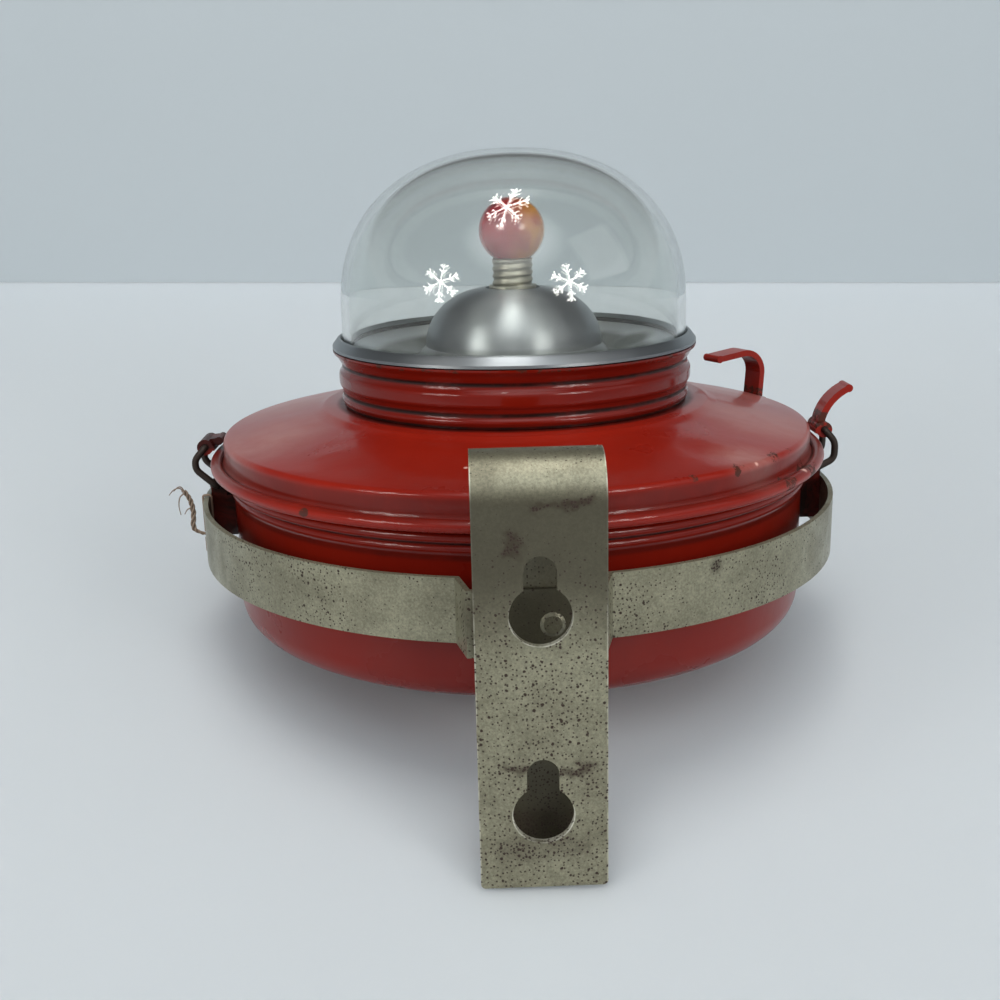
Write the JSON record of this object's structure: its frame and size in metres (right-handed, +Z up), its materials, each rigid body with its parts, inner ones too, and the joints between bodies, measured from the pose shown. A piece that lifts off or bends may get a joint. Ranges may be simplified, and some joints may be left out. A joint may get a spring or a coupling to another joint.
{
  "type": "battery warning lantern",
  "caption": "Round red battery lantern with clear dome over a reflector and bulb, latched lid, and a hoop with a folded strap bracket and keyholes.",
  "frame": {"origin": "centre of the pan's flat bottom", "axes": "+Z up along the lantern's axis, towards the dome; -Y out through the strap bracket's front face; +X to the right seen from the bracket"},
  "size_m": [0.1792, 0.1863, 0.1432],
  "materials": {
    "enamel": "glossy baked enamel, chipped at the edges",
    "strap_steel": "nickel-plated strip with rust specks",
    "wire_steel": "dark oxidised wire",
    "tinned": "tinned sheet",
    "aluminium": "spun, satin",
    "brass": "plain strip",
    "nickel": "thin dull plating",
    "seal": "moulded",
    "dome": "clear, polished",
    "lamp_glass": "red lacquer on glass",
    "lamp_stem": "pressed stem",
    "tungsten": "drawn wire",
    "cell_jacket": "plain jacket",
    "fibre": "pressed fibre"
  },
  "bodies": {
    "base": {"pan": "enamel", "rim_gasket": "seal", "battery_tray": "tinned", "cell_1": "cell_jacket", "cell_2": "cell_jacket", "cell_3": "cell_jacket", "cell_4": "cell_jacket", "cell_springs": "tinned", "end_terminals": "brass", "link_strip": "brass", "feed_strip": "brass", "hoop_band": "strap_steel", "hanger_plate": "strap_steel", "spot_welds": "strap_steel", "latch_base_left": "enamel", "latch_base_right": "enamel", "latch_base_rear": "enamel", "base_rivets": "strap_steel", "tie_wire": "wire_steel"},
    "lid_body": {"lid": "enamel", "socket_bridge": "tinned", "socket_shell": "nickel", "socket_insulator": "fibre", "socket_contact": "brass"},
    "optic": {"reflector": "aluminium", "dome_gasket": "seal", "dome_lens": "dome"},
    "collar_body": {"collar": "enamel"},
    "bulb_tip": {"bulb_contact": "nickel"},
    "bulb": {"bulb_base": "nickel", "bulb_globe": "lamp_glass", "bulb_stem": "lamp_stem", "bulb_filament": "tungsten"},
    "bail_left_body": {"bail_left": "wire_steel"},
    "lever_left_body": {"lever_left": "enamel"},
    "bail_right_body": {"bail_right": "wire_steel"},
    "lever_right_body": {"lever_right": "enamel"},
    "bail_rear_body": {"bail_rear": "wire_steel"},
    "lever_rear_body": {"lever_rear": "enamel"}
  },
  "joints": [
    {"name": "lid_lift", "type": "slide", "parent": "base", "child": "lid_body", "axis": [0, 0, 1], "range_m": [0, 0.008]},
    {"name": "collar_turn", "type": "hinge", "parent": "optic", "child": "collar_body", "pos_m": [0, 0, 0.062], "axis": [0, 0, 1], "range_deg": [0, 540]},
    {"name": "optic_rise", "type": "slide", "parent": "lid_body", "child": "optic", "axis": [0, 0, 1], "range_m": [0, 0.00375]},
    {"name": "bulb_rise", "type": "slide", "parent": "lid_body", "child": "bulb_tip", "axis": [0, 0, 1], "range_m": [0, 0.00543]},
    {"name": "bulb_turn", "type": "hinge", "parent": "bulb_tip", "child": "bulb", "pos_m": [0, 0, 0.0843], "axis": [0, 0, 1], "range_deg": [0, 1080]},
    {"name": "bail_left_swing", "type": "hinge", "parent": "base", "child": "bail_left_body", "pos_m": [-0.0786, 0, 0.0342], "axis": [0, -1, 0], "range_deg": [0, 40]},
    {"name": "lever_left_turn", "type": "hinge", "parent": "bail_left_body", "child": "lever_left_body", "pos_m": [-0.0812, 0, 0.0444], "axis": [0, -1, 0], "range_deg": [0, 50]},
    {"name": "bail_right_swing", "type": "hinge", "parent": "base", "child": "bail_right_body", "pos_m": [0.0786, 0, 0.0342], "axis": [0, 1, 0], "range_deg": [0, 40]},
    {"name": "lever_right_turn", "type": "hinge", "parent": "bail_right_body", "child": "lever_right_body", "pos_m": [0.0812, 0, 0.0444], "axis": [0, 1, 0], "range_deg": [0, 50]},
    {"name": "bail_rear_swing", "type": "hinge", "parent": "base", "child": "bail_rear_body", "pos_m": [0.0694, 0.0369, 0.0342], "axis": [-0.4695, 0.8829, 0], "range_deg": [0, 40]},
    {"name": "lever_rear_turn", "type": "hinge", "parent": "bail_rear_body", "child": "lever_rear_body", "pos_m": [0.0717, 0.03812, 0.0444], "axis": [-0.4695, 0.8829, 0], "range_deg": [0, 60]}
  ],
  "couplings": [
    {"joint": "optic_rise", "follows": "collar_turn", "m_per_rad": 0.00039789},
    {"joint": "bulb_rise", "follows": "bulb_turn", "m_per_rad": 0.00028807},
    {"joint": "bail_left_swing", "follows": "lid_lift", "rad_per_m": 87.266},
    {"joint": "bail_right_swing", "follows": "lid_lift", "rad_per_m": 87.266},
    {"joint": "bail_rear_swing", "follows": "lid_lift", "rad_per_m": 87.266}
  ]
}
